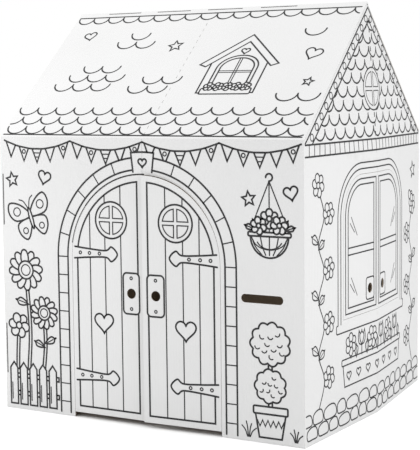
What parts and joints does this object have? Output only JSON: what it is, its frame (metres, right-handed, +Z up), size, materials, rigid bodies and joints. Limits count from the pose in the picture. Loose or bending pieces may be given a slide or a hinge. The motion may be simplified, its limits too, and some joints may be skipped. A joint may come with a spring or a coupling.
{
  "type": "cardboard playhouse",
  "caption": "Child's corrugated cardboard playhouse with gable roof, arched double door, mail slot and a pair of window shutters.",
  "frame": {"origin": "on the ground under the middle of the house", "axes": "+Z up, -Y out of the front wall with the doors, +X out of the gable wall with the window"},
  "size_m": [0.8588, 0.7287, 0.98],
  "materials": {
    "board": "matte white liner with black line print",
    "print": "matte black printing ink"
  },
  "bodies": {
    "house": {"front_sheet": "board", "rear_sheet": "board"},
    "left_door": {"left_door": "board"},
    "right_door": {"right_door": "board"},
    "front_shutter": {"front_shutter": "board"},
    "rear_shutter": {"rear_shutter": "board"}
  },
  "joints": [
    {"name": "left_door_hinge", "type": "hinge", "parent": "house", "child": "left_door", "pos_m": [-0.2, -0.36, 0], "axis": [0, 0, -1], "range_deg": [0, 165]},
    {"name": "right_door_hinge", "type": "hinge", "parent": "house", "child": "right_door", "pos_m": [0.2, -0.36, 0], "axis": [0, 0, 1], "range_deg": [-2.5, 165]},
    {"name": "front_shutter_hinge", "type": "hinge", "parent": "house", "child": "front_shutter", "pos_m": [0.41818, -0.17754, 0], "axis": [0, 0, -1], "range_deg": [0, 165]},
    {"name": "rear_shutter_hinge", "type": "hinge", "parent": "house", "child": "rear_shutter", "pos_m": [0.41818, 0.17754, 0], "axis": [0, 0, 1], "range_deg": [0, 165]}
  ]
}
